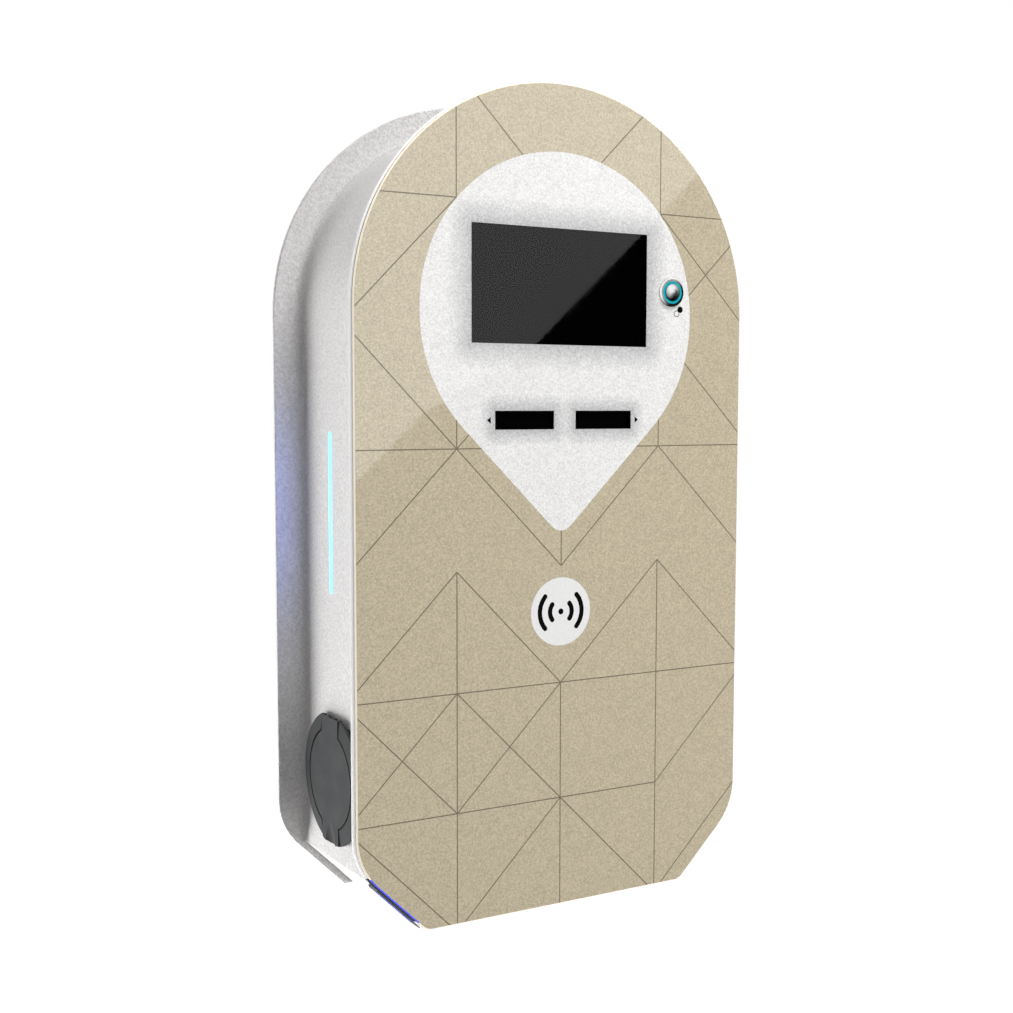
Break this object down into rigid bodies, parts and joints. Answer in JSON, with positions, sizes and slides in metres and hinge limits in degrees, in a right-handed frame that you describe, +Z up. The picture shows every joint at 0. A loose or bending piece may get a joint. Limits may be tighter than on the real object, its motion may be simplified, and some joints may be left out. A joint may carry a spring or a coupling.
{
  "type": "vehicle charging wallbox",
  "caption": "Arch-topped wall charging station with a printed glass front, a display, a push button, side light bars and hinged lids over its side sockets.",
  "frame": {"origin": "middle of the four wall holes, on the wall plane", "axes": "+Z up, -Y out of the front towards the user, +X to the right seen from the front"},
  "size_m": [0.358, 0.155, 0.6509],
  "materials": {
    "housing_white": "fine textured powder coat",
    "cover_white": "smooth powder coat",
    "zinc": "zinc plated",
    "polished_steel": "polished",
    "gasket_black": "matt",
    "clear_glass": "clear, polished edge",
    "print_beige": "screen print",
    "print_grey": "screen print",
    "print_white": "screen print",
    "print_black": "screen print",
    "display_black": "display, off",
    "window_smoked": "smoked",
    "device_grey": "moulded",
    "device_dark": "moulded",
    "lever_blue": "moulded",
    "board_green": "solder mask",
    "brass": "turned",
    "gland_grey": "moulded",
    "light_cyan": "lit lens",
    "light_blue": "lit lens",
    "trim_dark": "moulded",
    "socket_black": "moulded",
    "lid_grey": "moulded, fine texture"
  },
  "bodies": {
    "station": {"body_shell": "housing_white", "back_plate": "zinc", "back_plate_screws": "zinc", "cover_gasket": "gasket_black", "front_cover": "cover_white", "cover_screws": "zinc", "front_glass": "clear_glass", "beige_print": "print_beige", "pattern_lines": "print_grey", "pin_print": "print_white", "guide_marks": "print_black", "reader_disc": "print_white", "reader_waves": "print_black", "display_panel": "display_black", "display_frame": "zinc", "meter_window_left": "window_smoked", "meter_window_right": "window_smoked", "energy_meter_left": "device_grey", "energy_meter_right": "device_grey", "device_rails": "zinc", "rail_feet": "zinc", "button_bezel": "polished_steel", "button_ring": "light_cyan", "button_nut": "zinc", "breaker_left": "device_grey", "breaker_right": "device_grey", "contactor_left": "device_grey", "contactor_right": "device_grey", "power_supply": "device_dark", "controller_board": "board_green", "board_spacers": "brass", "reader_board": "board_green", "terminal_block": "device_grey", "cable_gland": "gland_grey", "socket_screws": "zinc", "side_light_left": "light_cyan", "side_light_right": "light_cyan", "corner_bezel_left": "trim_dark", "corner_bezel_right": "trim_dark", "corner_light_left": "light_blue", "corner_light_right": "light_blue", "socket_left": "socket_black", "socket_right": "socket_black", "contact_carrier_left": "socket_black", "contact_carrier_right": "socket_black", "socket_contacts_left": "brass", "socket_contacts_right": "brass", "lid_pin_left": "zinc", "lid_pin_right": "zinc", "lid_spring_left": "zinc", "lid_spring_right": "zinc", "lock_motor_left": "device_dark", "lock_motor_right": "device_dark"},
    "lid_left": {"socket_lid_left": "lid_grey"},
    "lid_right": {"socket_lid_right": "lid_grey"},
    "button": {"button_cap": "polished_steel"},
    "lock_left": {"lock_pin_left": "polished_steel"},
    "lock_right": {"lock_pin_right": "polished_steel"},
    "lever_left": {"breaker_lever_left": "lever_blue"},
    "lever_right": {"breaker_lever_right": "lever_blue"}
  },
  "joints": [
    {"name": "lid_hinge_left", "type": "hinge", "parent": "station", "child": "lid_left", "pos_m": [-0.15742, -0.06759, -0.1683], "axis": [-0.0523, 0.9986, 0], "range_deg": [0, 100], "stiffness_Nm_per_rad": 0.02},
    {"name": "lid_hinge_right", "type": "hinge", "parent": "station", "child": "lid_right", "pos_m": [0.15742, -0.06759, -0.1683], "axis": [-0.0523, -0.9986, 0], "range_deg": [0, 100], "stiffness_Nm_per_rad": 0.02},
    {"name": "button_press", "type": "slide", "parent": "station", "child": "button", "axis": [0, 1, 0], "range_m": [0, 0.002], "stiffness_N_per_m": 500, "springref_m": -0.002},
    {"name": "lock_slide_left", "type": "slide", "parent": "station", "child": "lock_left", "axis": [0, 0, -1], "range_m": [0, 0.006]},
    {"name": "lock_slide_right", "type": "slide", "parent": "station", "child": "lock_right", "axis": [0, 0, -1], "range_m": [0, 0.006]},
    {"name": "breaker_switch_left", "type": "hinge", "parent": "station", "child": "lever_left", "pos_m": [-0.033, -0.074, -0.045], "axis": [1, 0, 0], "range_deg": [0, 60]},
    {"name": "breaker_switch_right", "type": "hinge", "parent": "station", "child": "lever_right", "pos_m": [0.033, -0.074, -0.045], "axis": [1, 0, 0], "range_deg": [0, 60]}
  ]
}
